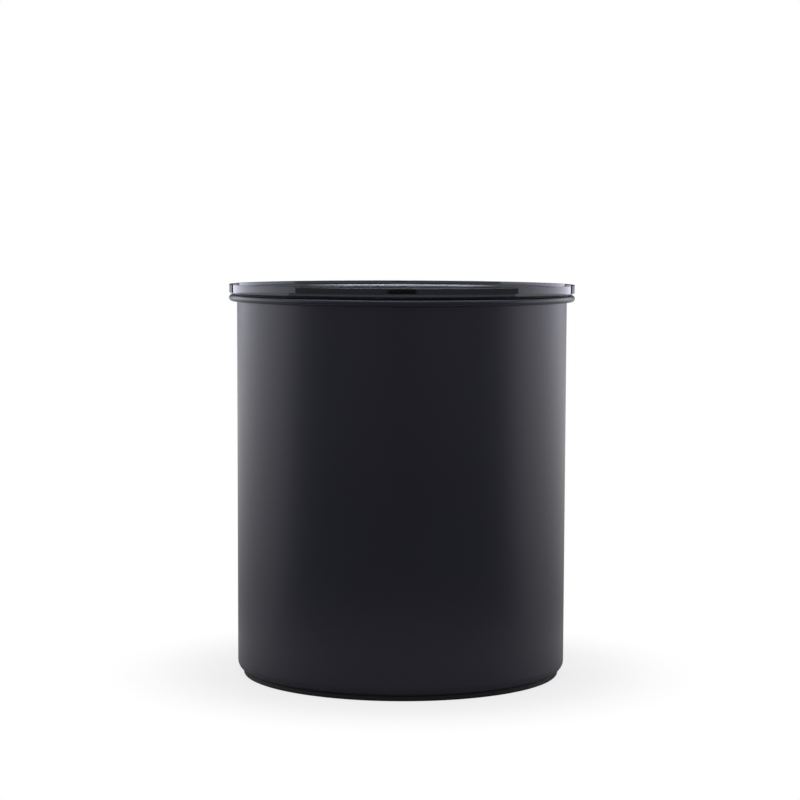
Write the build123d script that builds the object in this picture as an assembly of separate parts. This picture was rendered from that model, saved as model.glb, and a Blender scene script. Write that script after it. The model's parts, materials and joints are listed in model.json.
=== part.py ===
from build123d import *

import os
from math import cos, dist, pi, sin

# Coffee canister with a valved inner lid, in millimetres, +Z up.
#
# A drawn steel can with a rolled rim stands on a rubber ring. A clear outer lid plugs the mouth with a
# silicone gasket. Inside, an inner lid slides down onto the coffee on a wiper seal, and pushes the air
# out through a valve in its middle. The handle of the inner lid is hinged above the valve: folded flat,
# its cam holds the valve shut; stood upright, it lets the spring raise the valve off its seat.
#
# The origin is the middle of the foot of the can. The handle lies folded towards -Y and its pin is
# along X. The outer lid is on, and the inner lid stands a little below the highest place it can have
# with its handle upright under the outer lid.

# Whole canister
overall_height = 200.0
rim_radius = 88.3

# Can: sheet steel, with a rolled rim at the mouth and a rounded corner at the base
sheet = 0.8
rim_projection = 4.1
rim_height = 3.3
curl_end_gap = 0.3
corner_radius = 5.0
base_flat = 13.2
panel_raise = 1.5

# Rubber ring under the can, whose outer edge climbs a little way up the corner
foot_height = 2.0
foot_overhang = 2.0
foot_lip_height = 3.0
foot_width = 14.0
foot_edge = 0.5
foot_fit = 0.05

# Clear outer lid: a flat floor with a thin raised edge, and a plug in the mouth
lid_edge_inset = 0.1
lid_band_height = 4.6
lid_edge_width = 1.5
lid_edge_radius = 0.7
lid_recess_depth = 3.0
lid_recess_round = 2.0
lid_floor = 1.8
lid_seat_gap = 0.6
plug_gap = 1.6
plug_wall = 1.8
plug_depth = 8.3

# Gasket of the outer lid: a flange on the rolled rim and a band with two fins in the mouth
gasket_fit = 0.1
gasket_band = 0.8
gasket_inset = 1.2
gasket_short = 1.5
gasket_fin_pitch = 2.6

# Fins of both seals, which stop this far short of the bore of the can
seal_clearance = 0.3
fin_thickness = 0.6
fin_rise = 0.9

# Inner lid disc: rim with a groove for the wiper seal, a thin dish and a thick pad in the middle
disc_gap = 2.0
disc_rim_width = 5.0
disc_rim_height = 14.0
disc_rim_round = 1.0
disc_pad_height = 5.0
disc_pad_radius = 24.0
disc_plate = 2.5
groove_depth = 2.8
groove_bottom = 4.0
groove_height = 6.0
groove_fit = 0.1
rib_count = 8
rib_width = 1.8
rib_height = 2.0

# Room that the inner lid keeps at the ends of its travel, and where it stands below the upper end
floor_stop_gap = 2.0
handle_lid_gap = 1.0
rest_below_top = 5.0

# Valve: port holes inside a raised seat, closed by a washer under the flange of a poppet
port_count = 8
port_hole_radius = 1.3
port_circle_radius = 7.3
seat_inner_radius = 9.3
seat_width = 1.5
seat_height = 0.8
seat_touch = 0.05
washer_thickness = 1.0
washer_overlap = 0.9
washer_fit = 0.1
poppet_flange = 1.5
poppet_hat_radius = 6.0
poppet_hat_wall = 1.0
poppet_hat_top = 1.2
poppet_edge = 0.6
stem_radius = 3.0
valve_lift = 2.0
lift_room = 0.5

# Spring inside the hat of the poppet, round a spigot on the disc
spring_length = 6.5
spring_wire_radius = 0.4
spring_radius = 4.2
spring_turns = 4
spigot_radius = 3.2
spigot_height = 1.5

# Valve housing: a vented chamber round the poppet, screwed down by its flange
chamber_gap = 1.6
housing_wall = 2.0
housing_top = 2.0
stem_clearance = 0.15
stem_proud = 0.3
flange_width = 7.0
flange_thickness = 2.0
vent_count = 4
vent_width = 7.0
vent_height = 3.0
vent_sill = 1.6

# Ears for the handle's pin, and the ledge that the folded handle lies on
ear_thickness = 3.0
ear_half_width = 5.0
ledge_width = 3.0
ledge_gap = 2.0
ledge_clearance = 0.1

# Screws that hold the housing on the disc
screw_count = 4
screw_radius = 1.4
screw_head_radius = 2.8
screw_head_height = 1.8
screw_head_round = 0.9
screw_depth = 3.6
screw_hole_clearance = 0.2
screw_fit = 0.02
recess_length = 3.4
recess_width = 0.8
recess_depth = 0.9

# Hinge of the handle: a barrel on a pin, with an eccentric cam over the valve's stem
cam_radius = 4.6
cam_half_width = 4.5
cam_gap = 0.15
barrel_radius = 5.0
barrel_half_length = 11.0
barrel_side_gap = 0.3
pin_radius = 1.5
pin_running_clearance = 0.05
pin_press_clearance = 0.02
pin_head_radius = 2.6
pin_head_height = 1.0
pin_tip = 0.9
clip_thickness = 0.8
clip_gap = 0.1
clip_radius = 3.0
clip_neck = 0.4
clip_fit = 0.02
clip_slot = 1.6

# Handle: a flat loop for the fingers on a short neck
loop_thickness = 6.0
loop_neck = 8.0
loop_reach = 48.0
loop_half_width = 34.0
loop_arm = 9.0
loop_grip = 12.0
loop_corner = 14.0
loop_edge = 1.8

# Cuts run past a face by this much, and joined shapes run into each other by this much
overrun = 1.0
weld = 0.1

# Worked out: the can and its ring
wall_radius = rim_radius - rim_projection
bore_radius = wall_radius - sheet
lid_bottom = overall_height - lid_band_height
rim_top = lid_bottom - lid_seat_gap
rim_middle = rim_top - rim_height / 2
floor_top = foot_height + sheet + panel_raise
panel_radius = wall_radius - corner_radius - base_flat
foot_outer = wall_radius - corner_radius + foot_overhang
foot_inner = foot_outer - foot_width

# Worked out: the outer lid
lid_radius = rim_radius - lid_edge_inset
plug_radius = bore_radius - plug_gap
recess_floor = overall_height - lid_recess_depth
lid_underside = recess_floor - lid_floor
plug_bottom = lid_underside - plug_depth
gasket_flange_radius = lid_radius - gasket_inset

# Worked out: the valve and its housing, in heights above the underside of the disc
disc_radius = bore_radius - disc_gap
dish_radius = disc_radius - disc_rim_width
groove_radius = disc_radius - groove_depth
groove_top = groove_bottom + groove_height
seat_outer_radius = seat_inner_radius + seat_width
washer_bottom = disc_pad_height + seat_height + seat_touch
washer_radius = seat_outer_radius + washer_overlap
washer_bore = seat_inner_radius - washer_overlap
poppet_bottom = washer_bottom + washer_thickness
poppet_top = poppet_bottom + poppet_flange
spring_top = disc_pad_height + spring_length
hat_top = spring_top + poppet_hat_top
chamber_radius = washer_radius + chamber_gap
chamber_top = hat_top + valve_lift + lift_room
housing_radius = chamber_radius + housing_wall
housing_roof = chamber_top + housing_top
stem_top = housing_roof + stem_proud
flange_top = disc_pad_height + flange_thickness
flange_radius = housing_radius + flange_width
screw_circle_radius = housing_radius + flange_width / 2
screw_end = disc_pad_height - screw_depth

# Worked out: the hinge, whose cam centre lies below and in front of the pin while the handle is folded
cam_side = valve_lift / 2
hinge_height = stem_top + cam_gap + cam_radius + cam_side
ear_inside = barrel_half_length + barrel_side_gap
ear_outside = ear_inside + ear_thickness

# Worked out: the heights of the inner lid
inner_lid_highest = lid_underside - handle_lid_gap - loop_reach - hinge_height
inner_lid_rest = inner_lid_highest - rest_below_top
inner_lid_lowest = floor_top + floor_stop_gap

ALONG_X = Rot(0, 90, 0)
STANDING = (Align.CENTER, Align.CENTER, Align.MIN)


def turned(outline, *roundings):
    """A solid of revolution about Z from an (r, z) outline. Each rounding is a radius and its corners."""
    section = make_face(Polyline(*outline, close=True))
    for radius, *corners in roundings:
        for corner in corners:
            nearest = section.vertices().sort_by_distance((*outline[corner], 0))[0]
            section = fillet(nearest, radius)
    return revolve(Plane.XZ * section, Axis.Z)


def disc(radius, bottom, top):
    """A plain round disc from one height to another."""
    return Pos(0, 0, bottom) * Cylinder(radius, top - bottom, align=STANDING)


def tube(outer, inner, bottom, top):
    """A plain ring from one height to another."""
    return turned([(inner, bottom), (outer, bottom), (outer, top), (inner, top)])


def block(x, y, z):
    """A box between two limits along each axis."""
    size = [high - low for low, high in (x, y, z)]
    return Pos(x[0], y[0], z[0]) * Box(*size, align=(Align.MIN, Align.MIN, Align.MIN))


def around(solid, count, first=0):
    """Copies of a solid spread evenly about Z."""
    return [Rot(0, 0, first + 360 / count * i) * solid for i in range(count)]


def rounded_can(radius, corner, bottom, top):
    """A disc whose lower edge is rounded."""
    can = disc(radius, bottom, top)
    return fillet(can.edges().group_by(Axis.Z)[0], corner)


def make_canister_shell():
    """Drawn can: straight wall, rounded corner, raised panel in the base and a curl round the mouth."""
    outline = [
        (0, floor_top - sheet),
        (panel_radius, floor_top - sheet),
        (panel_radius, foot_height),
        (wall_radius, foot_height),
        (wall_radius, rim_middle),
        (bore_radius, rim_middle),
        (bore_radius, foot_height + sheet),
        (panel_radius + sheet, foot_height + sheet),
        (panel_radius + sheet, floor_top),
        (0, floor_top),
    ]
    section = make_face(Polyline(*outline, close=True))
    for corner, radius in ((3, corner_radius), (6, corner_radius - sheet)):
        section = fillet(section.vertices().sort_by_distance((*outline[corner], 0))[0], radius)
    curl_width = rim_radius - bore_radius
    curl = SlotOverall(curl_width, rim_height)
    curl -= SlotOverall(curl_width - 2 * sheet, rim_height - 2 * sheet)
    curl = Pos(bore_radius + curl_width / 2, rim_middle) * curl
    curl -= Pos(bore_radius - overrun, rim_middle) * Rectangle(
        overrun + sheet + curl_end_gap, rim_height, align=(Align.MIN, Align.MAX)
    )
    return revolve(Plane.XZ * (section + curl), Axis.Z)


def make_base_ring():
    """Rubber ring glued under the base, which keeps the can from sliding."""
    outline = [
        (foot_inner, 0),
        (foot_outer, 0),
        (foot_outer, foot_lip_height),
        (foot_inner, foot_lip_height),
    ]
    ring = turned(outline, (foot_edge, 0, 1))
    corner = corner_radius + foot_fit
    return ring - rounded_can(wall_radius + foot_fit, corner, foot_height, foot_height + 2 * corner)


def make_lid_shell():
    """Clear outer lid: a floor that another canister can stand on, its raised edge, and the plug."""
    plug_inside = plug_radius - plug_wall
    recess_radius = lid_radius - lid_edge_width
    outline = [
        (0, lid_underside),
        (plug_inside, lid_underside),
        (plug_inside, plug_bottom),
        (plug_radius, plug_bottom),
        (plug_radius, lid_bottom),
        (lid_radius, lid_bottom),
        (lid_radius, overall_height),
        (recess_radius, overall_height),
        (recess_radius, recess_floor),
        (0, recess_floor),
    ]
    return turned(outline, (lid_edge_radius, 2, 3, 5, 6, 7), (lid_recess_round, 8))


def fin(root, tip, height):
    """The four corners of one seal fin that leans upwards, from its root to its tip."""
    return [
        (root, height),
        (tip, height + fin_rise),
        (tip, height + fin_rise + fin_thickness),
        (root, height + 2 * fin_thickness),
    ]


def make_lid_gasket():
    """Silicone ring round the plug, whose flange rests on the rolled rim and whose fins seal the mouth."""
    inner = plug_radius + gasket_fit
    band = inner + gasket_band
    tip = bore_radius - seal_clearance
    low = plug_bottom + gasket_short
    outline = [
        (inner, low),
        (band, low),
        *fin(band, tip, low + fin_thickness),
        *fin(band, tip, low + fin_thickness + gasket_fin_pitch),
        (band, rim_top),
        (gasket_flange_radius, rim_top),
        (gasket_flange_radius, lid_bottom - gasket_fit),
        (inner, lid_bottom - gasket_fit),
    ]
    return turned(outline)


def make_inner_lid_disc():
    """Moulded disc: grooved rim, ribbed dish and a thick pad with the air ports and the valve seat."""
    plate_bottom = disc_pad_height - disc_plate
    outline = [
        (0, 0),
        (disc_pad_radius, 0),
        (disc_pad_radius, plate_bottom),
        (dish_radius, plate_bottom),
        (dish_radius, 0),
        (disc_radius, 0),
        (disc_radius, groove_bottom),
        (groove_radius, groove_bottom),
        (groove_radius, groove_top),
        (disc_radius, groove_top),
        (disc_radius, disc_rim_height),
        (dish_radius, disc_rim_height),
        (dish_radius, disc_pad_height),
        (0, disc_pad_height),
    ]
    body = turned(outline, (disc_rim_round, 5, 10, 11, 12))
    into_pad = disc_pad_height - weld
    rib_height_range = (into_pad, disc_pad_height + rib_height)
    rib = block((disc_pad_radius, dish_radius + weld), (-rib_width / 2, rib_width / 2), rib_height_range)
    for copy in around(rib, rib_count, 180 / rib_count):
        body += copy
    body += tube(seat_outer_radius, seat_inner_radius, into_pad, disc_pad_height + seat_height)
    body += disc(spigot_radius, into_pad, disc_pad_height + spigot_height)
    port = Pos(port_circle_radius, 0, 0) * disc(port_hole_radius, -overrun, disc_pad_height + overrun)
    for copy in around(port, port_count):
        body -= copy
    pilot = disc(screw_radius + screw_fit, screw_end - screw_fit, disc_pad_height + overrun)
    for copy in around(Pos(screw_circle_radius, 0, 0) * pilot, screw_count, 180 / screw_count):
        body -= copy
    return body


def make_wiper_seal():
    """Silicone ring in the groove of the disc, with two fins that wipe the bore of the can."""
    inner = groove_radius + groove_fit
    root = disc_radius - groove_fit
    tip = bore_radius - seal_clearance
    low = groove_bottom + groove_fit
    high = groove_top - groove_fit
    outline = [
        (inner, low),
        (root, low),
        *fin(root, tip, low + fin_thickness),
        *fin(root, tip, low + fin_thickness + groove_height / 2),
        (root, high),
        (inner, high),
    ]
    return turned(outline)


def make_valve_housing():
    """Housing over the valve: screw flange, vented chamber, stem guide, ears and the handle's ledge."""
    body = tube(flange_radius, chamber_radius, disc_pad_height, flange_top)
    body += tube(housing_radius, chamber_radius, disc_pad_height, housing_roof)
    body += tube(housing_radius, stem_radius + stem_clearance, chamber_top, housing_roof)
    in_roof = housing_roof - weld
    ear = block((ear_inside, ear_outside), (-ear_half_width, ear_half_width), (in_roof, hinge_height))
    ear += Pos(0, 0, hinge_height) * ALONG_X * disc(ear_half_width, ear_inside, ear_outside)
    for copy in around(ear, 2):
        body += copy
    ledge_back = -barrel_radius - ledge_gap
    ledge_top = hinge_height - loop_thickness / 2 - ledge_clearance
    body += block(
        (-barrel_half_length, barrel_half_length),
        (ledge_back - ledge_width, ledge_back),
        (in_roof, ledge_top),
    )
    vent_bottom = flange_top + vent_sill
    vent = block(
        (chamber_radius - overrun, housing_radius + overrun),
        (-vent_width / 2, vent_width / 2),
        (vent_bottom, vent_bottom + vent_height),
    )
    for copy in around(vent, vent_count):
        body -= copy
    hole = disc(screw_radius + screw_hole_clearance, disc_pad_height - overrun, flange_top + overrun)
    for copy in around(Pos(screw_circle_radius, 0, 0) * hole, screw_count, 180 / screw_count):
        body -= copy
    bore = disc(pin_radius + pin_press_clearance, -ear_outside - overrun, ear_outside + overrun)
    return body - Pos(0, 0, hinge_height) * ALONG_X * bore


def make_housing_screws():
    """Pan-head screws through the flange of the housing into the pad of the disc."""
    head_top = flange_top + screw_head_height
    head = disc(screw_head_radius, flange_top, head_top)
    head = fillet(head.edges().group_by(Axis.Z)[-1], screw_head_round)
    for turn in (0, 90):
        head -= Pos(0, 0, head_top) * Rot(0, 0, turn) * Box(recess_length, recess_width, 2 * recess_depth)
    screw = head + disc(screw_radius, screw_end, flange_top + weld)
    placed = around(Pos(screw_circle_radius, 0, 0) * screw, screw_count, 180 / screw_count)
    return Compound(children=[copy.solid() for copy in placed])


def make_valve_poppet():
    """Poppet: flange over the washer, a hollow hat for the spring, and the stem that the cam presses."""
    pocket = poppet_hat_radius - poppet_hat_wall
    spigot = washer_bore - washer_fit
    outline = [
        (0, spring_top),
        (pocket, spring_top),
        (pocket, washer_bottom + seat_touch),
        (spigot, washer_bottom + seat_touch),
        (spigot, poppet_bottom),
        (washer_radius, poppet_bottom),
        (washer_radius, poppet_top),
        (poppet_hat_radius, poppet_top),
        (poppet_hat_radius, hat_top),
        (stem_radius, hat_top),
        (stem_radius, stem_top),
        (0, stem_top),
    ]
    return turned(outline, (poppet_edge, 8, 10))


def make_valve_washer():
    """Flat silicone washer under the flange of the poppet, which closes on the seat."""
    return tube(washer_radius, washer_bore, washer_bottom, poppet_bottom)


def make_valve_spring():
    """Compression spring that raises the poppet when the cam lets go."""
    rise = spring_length - 2 * spring_wire_radius
    line = Helix(pitch=rise / spring_turns, height=rise, radius=spring_radius)
    start = Plane(origin=line @ 0, z_dir=line % 0)
    coil = sweep(start * Circle(spring_wire_radius), path=line)
    return Pos(0, 0, disc_pad_height + spring_wire_radius) * coil


def least_spring_gap():
    """The least gap from one turn of the spring to the next, measured on points of its centre line."""
    rise = spring_length - 2 * spring_wire_radius
    steps = 24

    def point(step):
        angle = 2 * pi * step / steps
        return spring_radius * cos(angle), spring_radius * sin(angle), rise * step / steps / spring_turns

    next_turn = [point(step) for step in range(steps // 2, steps * 2)]
    return min(dist(point(0), other) for other in next_turn) - 2 * spring_wire_radius


def make_handle():
    """Folding handle: a flat finger loop, its neck, the barrel of the hinge and the valve's cam."""
    depth = loop_reach - loop_neck
    loop = Pos(0, -loop_neck - depth / 2) * RectangleRounded(2 * loop_half_width, depth, loop_corner)
    window_depth = depth - loop_arm - loop_grip
    window = Pos(0, -loop_neck - loop_arm - window_depth / 2) * RectangleRounded(
        2 * (loop_half_width - loop_arm), window_depth, loop_corner - loop_arm
    )
    handle = extrude(loop - window, loop_thickness / 2, both=True)
    handle = fillet(handle.edges().filter_by(Plane.XY), loop_edge)
    handle += block(
        (-barrel_half_length, barrel_half_length),
        (-loop_neck - loop_arm / 2, 0),
        (-loop_thickness / 2, loop_thickness / 2),
    )
    for low, high in ((-barrel_half_length, -cam_half_width), (cam_half_width, barrel_half_length)):
        handle += ALONG_X * disc(barrel_radius, low, high)
    handle += Pos(0, -cam_side, -cam_side) * ALONG_X * disc(cam_radius, -cam_half_width, cam_half_width)
    past_barrel = barrel_half_length + overrun
    handle -= ALONG_X * disc(pin_radius + pin_running_clearance, -past_barrel, past_barrel)
    return Pos(0, 0, hinge_height) * handle


def make_hinge_pin():
    """Steel pin through the ears and the barrel, with a head at one end and a groove for its clip."""
    clip_place = ear_outside + clip_gap
    clip_end = clip_place + clip_thickness
    pin = disc(pin_radius, -ear_outside, clip_end + pin_tip)
    pin += disc(pin_head_radius, -ear_outside - pin_head_height, -ear_outside)
    pin -= tube(pin_radius + overrun, pin_radius - clip_neck, clip_place - clip_fit, clip_end + clip_fit)
    return Pos(0, 0, hinge_height) * ALONG_X * pin


def make_pin_clip():
    """Snap ring in the groove at the end of the pin."""
    place = ear_outside + clip_gap
    clip = tube(clip_radius, pin_radius - clip_neck + clip_fit, place, place + clip_thickness)
    opening = (place - overrun, place + clip_thickness + overrun)
    clip -= block((0, clip_radius + overrun), (-clip_slot / 2, clip_slot / 2), opening)
    return Pos(0, 0, hinge_height) * ALONG_X * clip


can_and_lid = {
    "canister_shell": make_canister_shell,
    "base_ring": make_base_ring,
    "lid_shell": make_lid_shell,
    "lid_gasket": make_lid_gasket,
}
inner_lid = {
    "inner_lid_disc": make_inner_lid_disc,
    "wiper_seal": make_wiper_seal,
    "valve_housing": make_valve_housing,
    "housing_screws": make_housing_screws,
    "valve_poppet": make_valve_poppet,
    "valve_washer": make_valve_washer,
    "valve_spring": make_valve_spring,
    "handle": make_handle,
    "hinge_pin": make_hinge_pin,
    "pin_clip": make_pin_clip,
}

os.makedirs("parts", exist_ok=True)
for name, make in can_and_lid.items():
    export_step(make(), f"parts/{name}.step")
for name, make in inner_lid.items():
    export_step(Pos(0, 0, inner_lid_rest) * make(), f"parts/{name}.step")

print("least gap between turns of the valve spring:", round(least_spring_gap(), 3), "mm")
print("inner lid stands at", round(inner_lid_rest, 3), "and travels from", round(inner_lid_lowest, 3),
      "to", round(inner_lid_highest, 3))
print("pin of the handle at height", round(inner_lid_rest + hinge_height, 3))
print("valve moves", round(valve_lift / (pi / 2), 6), "mm for each radian of the handle")
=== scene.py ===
# %% [markdown]
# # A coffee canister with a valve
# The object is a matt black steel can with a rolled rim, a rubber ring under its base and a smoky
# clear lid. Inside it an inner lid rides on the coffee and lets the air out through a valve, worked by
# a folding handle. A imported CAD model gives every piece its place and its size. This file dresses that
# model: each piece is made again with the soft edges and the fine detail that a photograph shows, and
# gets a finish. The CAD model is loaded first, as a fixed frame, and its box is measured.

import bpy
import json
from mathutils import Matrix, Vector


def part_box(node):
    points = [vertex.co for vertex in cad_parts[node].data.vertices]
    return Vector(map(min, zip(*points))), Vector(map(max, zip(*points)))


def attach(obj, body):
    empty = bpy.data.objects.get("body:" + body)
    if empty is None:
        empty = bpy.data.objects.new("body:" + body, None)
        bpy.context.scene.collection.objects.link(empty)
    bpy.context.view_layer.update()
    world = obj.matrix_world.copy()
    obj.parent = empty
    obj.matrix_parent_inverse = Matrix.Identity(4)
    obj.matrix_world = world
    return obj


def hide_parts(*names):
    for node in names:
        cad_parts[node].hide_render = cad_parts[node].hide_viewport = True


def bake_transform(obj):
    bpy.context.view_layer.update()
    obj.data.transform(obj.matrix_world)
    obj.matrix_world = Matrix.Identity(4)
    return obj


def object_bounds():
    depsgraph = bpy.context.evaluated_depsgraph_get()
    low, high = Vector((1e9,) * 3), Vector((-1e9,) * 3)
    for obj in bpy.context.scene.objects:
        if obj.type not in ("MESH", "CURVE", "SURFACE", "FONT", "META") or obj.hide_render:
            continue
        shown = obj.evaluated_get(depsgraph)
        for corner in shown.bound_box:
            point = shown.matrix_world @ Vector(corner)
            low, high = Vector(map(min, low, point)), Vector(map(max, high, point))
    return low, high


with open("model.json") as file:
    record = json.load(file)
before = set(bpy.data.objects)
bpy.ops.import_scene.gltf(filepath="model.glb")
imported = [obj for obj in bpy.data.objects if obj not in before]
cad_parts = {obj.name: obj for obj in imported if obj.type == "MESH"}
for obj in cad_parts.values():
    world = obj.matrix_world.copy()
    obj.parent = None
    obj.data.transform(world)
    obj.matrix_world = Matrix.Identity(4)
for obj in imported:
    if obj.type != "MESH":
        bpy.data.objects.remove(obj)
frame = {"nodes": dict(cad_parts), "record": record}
cad_low, cad_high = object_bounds()
print("nodes:", ", ".join(sorted(frame["nodes"])))
print("height of the CAD model:", round(cad_high.z, 4), "m")

# %% The tools of Blender and of Python
import json
from math import cos, pi, radians, sin, tan

import bmesh
import bpy
from mathutils import Matrix, Vector

mm = 0.001
scene = bpy.context.scene

# %% [markdown]
# ## From an outline to a turned piece
# Most pieces of a canister are round, and a lathe is the plain way to make them: draw half of the
# section as a closed outline, round its corners, and spin it about the upright axis. The same pieces
# could be put together from cylinders, but an outline keeps each wall, lip and groove in one list that
# can be read. A corner is given as its distance from the axis, its height and its rounding. The
# roundings that come back in several pieces have names, from keen to full.

# %% Draw an outline
upright = Vector((0, 0, 1))
middle = Vector((0, 0, 0))
steps_in_a_corner = 6
roundings_mm = (0.15, 0.2, 0.3, 0.4, 0.5, 0.6, 1.0)
keen, crisp, slight, mild, gentle, ample, full = (size * mm for size in roundings_mm)


def outline(*corners, closed=True):
    """A mesh that holds one outline in the XZ plane, with its corners rounded."""
    mesh = bmesh.new()
    points = [mesh.verts.new((radius, 0, height)) for radius, height, *_ in corners]
    following = points[1:] + points[:1] if closed else points[1:]
    for here, there in zip(points, following):
        mesh.edges.new((here, there))
    roundings = [(corner[2] if len(corner) > 2 else 0) for corner in corners]
    places = [point.co.copy() for point in points]
    for i, rounding in enumerate(roundings):
        if rounding:
            before = places[i - 1] - places[i]
            after = places[(i + 1) % len(places)] - places[i]
            reach = rounding / tan(before.angle(after) / 2)
            bmesh.ops.bevel(
                mesh, geom=[points[i]], offset=reach, offset_type="OFFSET", segments=steps_in_a_corner,
                profile=0.5, affect="VERTICES", material=-1, clamp_overlap=True,
            )
    return mesh


# %% Turn a mesh into a finished piece
touching = 0.001 * mm


def finished(name, mesh, lift=0, smooth_below=32):
    """Merges doubles, points the faces outwards, raises the mesh and makes an object of it."""
    bmesh.ops.remove_doubles(mesh, verts=mesh.verts, dist=touching)
    bmesh.ops.translate(mesh, verts=mesh.verts, vec=(0, 0, lift))
    bmesh.ops.recalc_face_normals(mesh, faces=mesh.faces)
    data = bpy.data.meshes.new(name)
    mesh.to_mesh(data)
    mesh.free()
    data.shade_smooth()
    data.set_sharp_from_angle(angle=radians(smooth_below))
    piece = bpy.data.objects.new(name, data)
    scene.collection.objects.link(piece)
    return piece


def spun(mesh, steps=192):
    """Spins everything in the mesh once round the upright axis."""
    bmesh.ops.spin(
        mesh, geom=mesh.verts[:] + mesh.edges[:], cent=middle, axis=upright, dvec=middle,
        angle=2 * pi, steps=steps, use_merge=True, use_duplicate=False,
    )
    return mesh


def turned(name, *corners, steps=256, closed=True, lift=0):
    """A piece turned from the corners of its section."""
    return finished(name, spun(outline(*corners, closed=closed), steps), lift)


# %% [markdown]
# ## Finishes
# A finish is a small tree of shader nodes. It could be wired node by node, but sums are easier to
# read. So one class wraps a socket and gives it the signs of arithmetic and of comparison, and one
# method adds any other node. What varies over a surface feeds its colour, its roughness or its bump,
# and all other values are set on the shader itself.


# %% Sums on sockets
class Socket:
    """An output of a node that takes part in sums: each sign adds one Math node."""

    def __init__(self, finish, socket):
        self.finish = finish
        self.socket = socket

    def _sum(self, operation, first, second):
        return self.finish.add("ShaderNodeMath", {"operation": operation}, {0: first, 1: second})

    def __add__(self, other):
        return self._sum("ADD", self, other)

    def __radd__(self, other):
        return self._sum("ADD", other, self)

    def __sub__(self, other):
        return self._sum("SUBTRACT", self, other)

    def __rsub__(self, other):
        return self._sum("SUBTRACT", other, self)

    def __mul__(self, other):
        return self._sum("MULTIPLY", self, other)

    def __rmul__(self, other):
        return self._sum("MULTIPLY", other, self)

    def __pow__(self, other):
        return self._sum("POWER", self, other)

    def __gt__(self, other):
        return self._sum("GREATER_THAN", self, other)

    def __lt__(self, other):
        return self._sum("LESS_THAN", self, other)


class Finish:
    """A material made of nodes. Its method add() makes any node and returns its first output."""

    def __init__(self, name, owner=None):
        self.owner = owner or bpy.data.materials.new(name)
        self.owner.use_nodes = True
        self.tree = self.owner.node_tree
        self.tree.nodes.clear()

    def add(self, kind, settings=None, inputs=None, output=0):
        """Makes a node, sets its settings first, and then gives its inputs their values or links."""
        node = self.tree.nodes.new(kind)
        for key, value in (settings or {}).items():
            setattr(node, key, value)
        for key, value in (inputs or {}).items():
            if isinstance(value, Socket):
                self.tree.links.new(value.socket, node.inputs[key])
            else:
                node.inputs[key].default_value = value
        return Socket(self, node.outputs[output])

    def ramped(self, value, start, end, low=0.0, high=1.0, smooth=False):
        """Follows a value: it gives low up to start and high from end on, and climbs between them."""
        return self.add(
            "ShaderNodeMapRange", {"interpolation_type": "SMOOTHSTEP" if smooth else "LINEAR"},
            {"Value": value, "From Min": start, "From Max": end, "To Min": low, "To Max": high},
        )

    def blended(self, share, first, second):
        """A colour between two others. A Mix node takes colours on its sockets 6 and 7."""
        inputs = {"Factor": share, 6: (*first, 1), 7: (*second, 1)}
        return self.add("ShaderNodeMix", {"data_type": "RGBA"}, inputs, output=2)

    def length_of(self, vector, weights):
        """The length of a vector whose parts are weighted first."""
        weighted = self.add("ShaderNodeVectorMath", {"operation": "MULTIPLY"}, {0: vector, 1: weights})
        return self.add("ShaderNodeVectorMath", {"operation": "LENGTH"}, {0: weighted}, output=1)

    def shown(self, surface):
        """Sends a shader to the output of the tree and returns the material or world."""
        for_world = isinstance(self.owner, bpy.types.World)
        node = self.tree.nodes.new("ShaderNodeOutputWorld" if for_world else "ShaderNodeOutputMaterial")
        self.tree.links.new(surface.socket, node.inputs["Surface"])
        return self.owner


# %% [markdown]
# ## What most finishes share
# Moulded plastic, powder paint and rubber are one base colour with a fine skin: tiny bumps that break
# up the highlight, and a roughness that drifts a little from place to place. An image could give that
# skin, but noise on the piece's own coordinates has no seams and any scale. One function makes it,
# with the size of its grain in millimetres, and each finish below sets its own values.


# %% A fine skin for paint, plastic and rubber
noise_falloff = 0.55


def grain_of(finish, grain_mm, detail=2.0):
    """Noise between 0 and 1 whose grains are about this many millimetres across."""
    place = finish.add("ShaderNodeTexCoord", output="Object")
    return finish.add(
        "ShaderNodeTexNoise",
        {"noise_dimensions": "3D"},
        {"Vector": place, "Scale": 1 / (grain_mm * mm), "Detail": detail, "Roughness": noise_falloff},
    )


def bumps(finish, height, deepest_mm):
    """Bumps from a height between 0 and 1, this many millimetres high where it is 1."""
    inputs = {"Strength": 1.0, "Distance": deepest_mm * mm, "Height": height}
    return finish.add("ShaderNodeBump", {}, inputs)


def skin(name, colour, roughness, grain_mm, bump_mm, drift=0.06, patch_mm=18, shade=0.12):
    """A finish of one colour with fine grain, a drifting roughness and a slightly uneven shade."""
    finish = Finish(name)
    grain = grain_of(finish, grain_mm)
    patches = grain_of(finish, patch_mm, detail=3.0)
    darker = [part * (1 - shade) for part in colour]
    lighter = [min(1, part * (1 + shade)) for part in colour]
    inputs = {
        "Base Color": finish.blended(patches, darker, lighter),
        "Roughness": roughness - drift / 2 + patches * drift,
        "Normal": bumps(finish, grain, bump_mm),
    }
    return finish.shown(finish.add("ShaderNodeBsdfPrincipled", {}, inputs))


# %% [markdown]
# ## The finishes of the canister
# Powder paint on steel is matt and slightly blue, with a fine orange peel. The seals are silicone, the
# inner lid is moulded black plastic and the poppet is grey acetal. The blacks could all be one black,
# but each has its own shade, gloss and grain, because paint, a seal and a moulding differ beside each
# other.

# %% Paint, plastics, rubber and silicone
blue_black = (0.0075, 0.0075, 0.0195)
rubber_black = (0.009, 0.009, 0.0095)
seal_black = (0.005, 0.005, 0.006)
seal_grey = (0.045, 0.046, 0.05)
disc_black = (0.018, 0.018, 0.02)
housing_black = (0.02, 0.02, 0.022)
handle_black = (0.014, 0.014, 0.016)
pale_grey = (0.55, 0.56, 0.58)

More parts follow.
